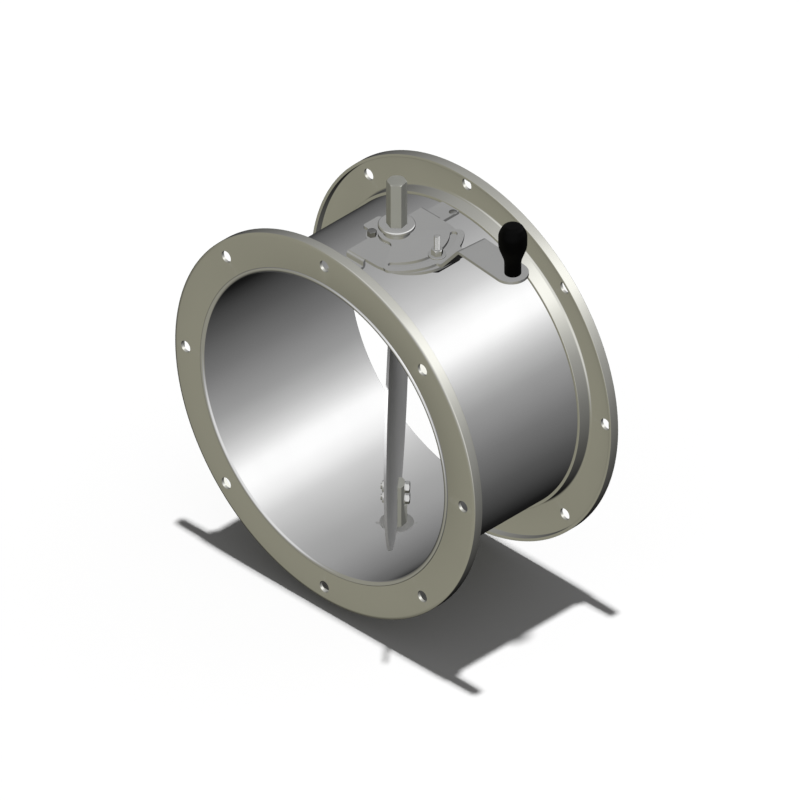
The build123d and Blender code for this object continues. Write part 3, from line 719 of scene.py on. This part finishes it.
def spun(name, section):
    """The closed section (distance from the duct's axis, place along it) turned right round."""
    work = bmesh.new()
    count = len(section)
    for step in range(SPIN_STEPS):
        turn = tau * step / SPIN_STEPS
        for point in section:
            work.verts.new((point.x * cos(turn), point.y, point.x * sin(turn)))
    work.verts.ensure_lookup_table()
    for step in range(SPIN_STEPS):
        near, far = step * count, (step + 1) % SPIN_STEPS * count
        for index in range(count):
            other = (index + 1) % count
            work.faces.new([work.verts[corner] for corner in (
                near + index, near + other, far + other, far + index)])
    bmesh.ops.recalc_face_normals(work, faces=work.faces)
    mesh = bpy.data.meshes.new(name)
    work.to_mesh(mesh)
    work.free()
    return mesh


def flange_ring(name):
    """The pressed ring: collar, bolting face and lip, drilled for its bolts."""
    low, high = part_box(name)
    front = low.y < DUCT_MIDDLE.y
    face, inward = (low.y, 1) if front else (high.y, -1)
    # Both rings are equal, so both take the front one's radius
    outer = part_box("front_flange")[1].x
    collar_end = high.y - low.y
    section = rounded_path((
        (TUBE_RADIUS, 0.0, RING_FACE_ROUND),
        (outer - RING_EDGE_SLOPE[0], 0.0, RING_EDGE_ROUNDS[0]),
        (outer, RING_EDGE_SLOPE[1], RING_EDGE_ROUNDS[1]),
        (outer, RING_LIP_DEPTH, SHEET_EDGE_ROUND),
        (outer - RING_SHEET, RING_LIP_DEPTH, SHEET_EDGE_ROUND),
        (outer - RING_SHEET, RING_SHEET, RING_LIP_INNER_BEND),
        (TUBE_RADIUS + RING_SHEET, RING_SHEET, RING_COLLAR_BEND),
        (TUBE_RADIUS + RING_SHEET, collar_end, SHEET_EDGE_ROUND),
        (TUBE_RADIUS, collar_end, SHEET_EDGE_ROUND)))
    placed = [Vector((point.x, face + inward * point.y)) for point in section]
    piece = grown(name + "_pressed", drilled_ring_tree(), spun(name + "_section", placed), {
        "Circle Radius": BOLT_CIRCLE, "Hole Radius": BOLT_HOLE_RADIUS, "Hole Count": BOLT_HOLES,
        "Reach": BOLT_DRILL_REACH})
    settle(piece, BODY_OF[name], SLOT_OF[name], (name,), RING_SHARP_ANGLE)


def duct_tube():
    """The tube, both ends rolled out over the rings, bored for the shafts and every fixing."""
    low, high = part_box("duct_shell")
    rim = high.x
    faces = low.y + BEAD_PROJECTION, high.y - BEAD_PROJECTION
    runs = [faces[0] + (faces[1] - faces[0]) * step / TUBE_RUNS for step in range(TUBE_RUNS + 1)]
    outside = [(TUBE_RADIUS, y, 0) for y in runs]
    inside = [(BORE_RADIUS, y, 0) for y in reversed(runs)]
    section = rounded_path((
        (rim, low.y, BEAD_OUTER_ROUND), (rim, faces[0], 0), *outside,
        (rim, faces[1], 0), (rim, high.y, BEAD_OUTER_ROUND),
        (BORE_RADIUS, high.y, BEAD_REAR_ROUND), *inside, (BORE_RADIUS, low.y, BEAD_INNER_ROUND)))
    mesh = spun("duct_section", section)
    drills = [(0.0, DUCT_MIDDLE.y, 0.0, SHAFT_HOLE_RADIUS, high.x * 2)]
    for name, radius in FIXING_HOLE_RADII.items():
        for corner_low, corner_high in solid_boxes(name):
            middle = (corner_low + corner_high) / 2
            drills.append((middle.x, middle.y, middle.z, radius, FIXING_DRILL_REACH))
    first = len(mesh.vertices)
    mesh.vertices.add(len(drills))
    for index, drill in enumerate(drills):
        mesh.vertices[first + index].co = drill[:3]
    for name, column in (("drill_radius", 3), ("drill_reach", 4)):
        values = mesh.attributes.new(name, "FLOAT", "POINT").data
        for index, drill in enumerate(drills):
            values[first + index].value = drill[column]
    piece = grown("duct_shell_rolled", bored_tube_tree(), mesh, {"Sides": TUBE_DRILL_SIDES})
    settle(piece, BODY_OF["duct_shell"], SLOT_OF["duct_shell"], ("duct_shell",))


for name in ("front_flange", "rear_flange"):
    flange_ring(name)
duct_tube()


# Sheet, bar and moulded pieces keep their CAD shape and get rounded edges, in millimetres
ROUNDED = {
    "quadrant_bracket": 0.35, "lever_plate": 0.4, "blade_disc": 0.4, "upper_shaft": 0.3,
    "lower_shaft": 0.3, "hub_collar": 0.3, "lever_hub": 0.2, "clamp_washer": 0.15,
    "blade_washers": 0.12, "friction_washer": 0.15, "bearing_saddle": 0.6,
    "lower_bearing_housing": 0.3, "lower_end_cap": 0.2, "lock_nut": 0.12, "blade_nuts": 0.12,
    "knob": 0.5, "upper_bush": 0.2, "lower_bush": 0.2,
}
for name, width in ROUNDED.items():
    rounded_copy(name, width)


# Fasteners

def make_bolts():
    """Hexagon bolts through bars and blade, and the two that hold the bracket."""
    tree = hexagon_bolt_tree()
    normal = Vector((cos(BLADE_NORMAL_HEADING), sin(BLADE_NORMAL_HEADING), 0))
    places = [DUCT_MIDDLE.xy.to_3d() + normal * BLADE_BOLT_SEAT
              + Vector((0, 0, (low.z + high.z) / 2)) for low, high in solid_boxes("blade_bolts")]
    piece = grown("blade_bolts_threaded", tree, points_mesh("blade_bolt_places", places), {
        "Across Flats": BLADE_BOLT_FLATS, "Head Height": BLADE_BOLT_HEAD,
        "Shank Radius": BLADE_BOLT_RADIUS, "Shank Length": BLADE_BOLT_SEAT + BLADE_BOLT_TAIL,
        "Thread Pitch": BOLT_THREAD_PITCH, "Thread Depth": BOLT_THREAD_DEPTH,
        "Heading": BLADE_NORMAL_HEADING + pi / 2, "Tilt": pi / 2})
    settle(piece, BODY_OF["blade_bolts"], "screw_steel", ("blade_bolts",))

    boxes = solid_boxes("bracket_screws")
    places = [on_axis(low, high, high.z - BRACKET_SCREW_HEAD) for low, high in boxes]
    piece = grown("bracket_screws_threaded", tree, points_mesh("bracket_screw_places", places), {
        "Across Flats": BRACKET_SCREW_FLATS, "Head Height": BRACKET_SCREW_HEAD,
        "Shank Radius": BRACKET_SCREW_RADIUS,
        "Shank Length": boxes[0][1].z - boxes[0][0].z - BRACKET_SCREW_HEAD,
        "Thread Pitch": BRACKET_SCREW_PITCH, "Thread Depth": BRACKET_SCREW_DEPTH,
        "Heading": 0.0, "Tilt": 0.0})
    # The bracket screws take the darkened zinc, painted shade on their heads
    settle(piece, BODY_OF["bracket_screws"], "screw_steel", ("bracket_screws",), coat=SHADE_DARKENED_ZINC)


def make_pan_screws():
    """The lower housing's four screws and the one that holds the knob, all driven from below."""
    tree = pan_screw_tree()
    for name, (radius, height, shank) in PAN_SCREWS.items():
        boxes = solid_boxes(name)
        places = [on_axis(low, high, low.z + height) for low, high in boxes]
        piece = grown(name + "_crossed", tree, points_mesh(name + "_places", places), {
            "Head Radius": radius, "Head Height": height, "Recess Width": RECESS_WIDTH,
            "Shank Radius": shank, "Shank Length": boxes[0][1].z - boxes[0][0].z - height,
            "Turn Over": pi})
        settle(piece, BODY_OF[name], SLOT_OF[name], (name,))


def make_rivets():
    """The blind rivets through the bracket's feet."""
    boxes = solid_boxes("bracket_rivets")
    places = [on_axis(low, high, high.z - RIVET_HEAD_HEIGHT) for low, high in boxes]
    grip = boxes[0][1].z - boxes[0][0].z - RIVET_HEAD_HEIGHT - RIVET_BULGE_HEIGHT
    piece = grown("bracket_rivets_set", blind_rivet_tree(), points_mesh("rivet_places", places), {
        "Head Radius": RIVET_HEAD_RADIUS, "Head Height": RIVET_HEAD_HEIGHT,
        "Body Radius": RIVET_BODY_RADIUS, "Grip": grip, "Bulge Radius": RIVET_BULGE_RADIUS,
        "Bulge Height": RIVET_BULGE_HEIGHT})
    # The rivets take the darkened zinc, painted shade on their heads
    settle(piece, BODY_OF["bracket_rivets"], SLOT_OF["bracket_rivets"], ("bracket_rivets",),
           coat=SHADE_DARKENED_ZINC)


def make_stud():
    """The locking stud: a thread up from a flat pressed-in head."""
    low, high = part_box("locking_stud")
    foot = on_axis(low, high, low.z + STUD_HEAD_HEIGHT)
    place = points_mesh("stud_place", [foot])
    piece = grown("locking_stud_threaded", threaded_stud_tree(), place, {
        "Stud Radius": STUD_RADIUS, "Stud Length": high.z - foot.z,
        "Head Radius": (high.x - low.x) / 2, "Head Height": STUD_HEAD_HEIGHT,
        "Thread Pitch": BOLT_THREAD_PITCH, "Thread Depth": BOLT_THREAD_DEPTH})
    settle(piece, BODY_OF["locking_stud"], SLOT_OF["locking_stud"], ("locking_stud",))


def make_weld():
    """The tube's lengthwise weld, outside, beside the lower bearing and out of the view."""
    low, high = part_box("duct_shell")
    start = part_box("front_flange")[1].y + WELD_END_GAP
    end = high.y - (start - low.y)
    x, z = TUBE_RADIUS * cos(WELD_HEADING), TUBE_RADIUS * sin(WELD_HEADING)
    count = int((end - start) / RIPPLE_STEP) + 1
    places = [Vector((x, start + index * RIPPLE_STEP, z)) for index in range(count)]
    piece = grown("duct_weld", weld_tree(), points_mesh("weld_places", places), {
        "Ripple Width": RIPPLE_WIDTH, "Ripple Length": RIPPLE_LENGTH,
        "Ripple Height": RIPPLE_HEIGHT, "Heading": WELD_HEADING})
    settle(piece, BODY_OF["duct_shell"], "duct_sheet", (), WELD_SHARP_ANGLE)


make_bolts()
make_pan_screws()
make_rivets()
make_stud()
make_weld()

for name, part in frame["nodes"].items():
    part.data.materials.clear()
    part.data.materials.append(FINISHES[SLOT_OF[name]])


# Floor, light and camera

def make_floor():
    """A floor that the camera sees and that neither lights, mirrors nor shades the part."""
    level = cad_low.z - FLOOR_GAP
    half = FLOOR_SIZE / 2
    mesh = bpy.data.meshes.new("floor")
    mesh.from_pydata(
        [(-half, -half, level), (half, -half, level), (half, half, level), (-half, half, level)],
        [], [(0, 1, 2, 3)])
    floor = new_piece("floor", mesh)
    made = bpy.data.materials.new("pale_floor")
    made.use_nodes = True
    shader = made.node_tree.nodes["Principled BSDF"]
    shader.inputs["Base Color"].default_value = (FLOOR_GREY, FLOOR_GREY, FLOOR_GREY, 1)
    shader.inputs["Roughness"].default_value = FLOOR_ROUGHNESS
    shader.inputs["Specular IOR Level"].default_value = 0.0
    mesh.materials.append(made)
    floor.visible_diffuse = False
    floor.visible_glossy = False
    floor.visible_shadow = False


def make_surround():
    """A studio whose brightness runs round the duct's axis, with a lit front of its own."""
    world = bpy.data.worlds.new("studio")
    bpy.context.scene.world = world
    world.use_nodes = True
    tree = world.node_tree
    direction = put(tree, "ShaderNodeTexCoord").outputs["Generated"]
    split = put(tree, "ShaderNodeSeparateXYZ", {"Vector": direction}).outputs
    turn = maths(tree, "ARCTAN2", split["Z"], split["X"])
    ring = filled_ramp(tree, ranged(tree, turn, 0, 1, -pi, pi), [
        ((angle + 180) / 360, (level, level, level)) for angle, level in STUDIO_RING])
    toward_front = put(tree, "ShaderNodeMapRange", {
        "Value": split["Y"], "From Min": FRONT_BEGINS, "From Max": FRONT_FULL, "To Min": 0.0,
        "To Max": 1.0}, interpolation_type="SMOOTHSTEP").outputs["Result"]
    nearness = put(tree, "ShaderNodeVectorMath", {0: direction, 1: FRONT_SPOT},
                   operation="DOT_PRODUCT").outputs["Value"]
    stops = []
    for cosine, level in STUDIO_FRONT:
        tint = FRONT_TINT if cosine < TINT_ENDS else (1, 1, 1)
        stops.append(((cosine + 1) / 2, [level * share for share in tint]))
    front = filled_ramp(tree, ranged(tree, nearness, 0, 1, -1, 1), stops)
    light = mixed(tree, toward_front, ring, front)
    link(tree, light, tree.nodes["Background"].inputs["Color"])


def make_top_light():
    """Soft light straight from above, which makes the floor's shadow."""
    top = bpy.data.lights.new("top_light", "SUN")
    top.energy = TOP_LIGHT
    top.angle = radians(TOP_LIGHT_ANGLE)
    lamp = bpy.data.objects.new("top_light", top)
    lamp.visible_glossy = False
    bpy.context.scene.collection.objects.link(lamp)


def make_camera():
    data = bpy.data.cameras.new("camera")
    data.type = "ORTHO"
    data.ortho_scale = VIEW_WIDTH
    camera = bpy.data.objects.new("camera", data)
    target = DUCT_MIDDLE + VIEW_RIGHT * VIEW_OFFSET_RIGHT + VIEW_UP * VIEW_OFFSET_UP
    camera.location = target + VIEW_BACK * CAMERA_DISTANCE
    camera.rotation_mode = "QUATERNION"
    camera.rotation_quaternion = (-VIEW_BACK).to_track_quat("-Z", "Y")
    bpy.context.scene.collection.objects.link(camera)
    bpy.context.scene.camera = camera


make_floor()
make_surround()
make_top_light()
make_camera()
bpy.context.scene.view_settings.view_transform = "Standard"

# The metals mirror only the studio, as in the photograph, and not one another
for thing in bpy.context.scene.objects:
    if thing.type == "MESH":
        thing.visible_glossy = False
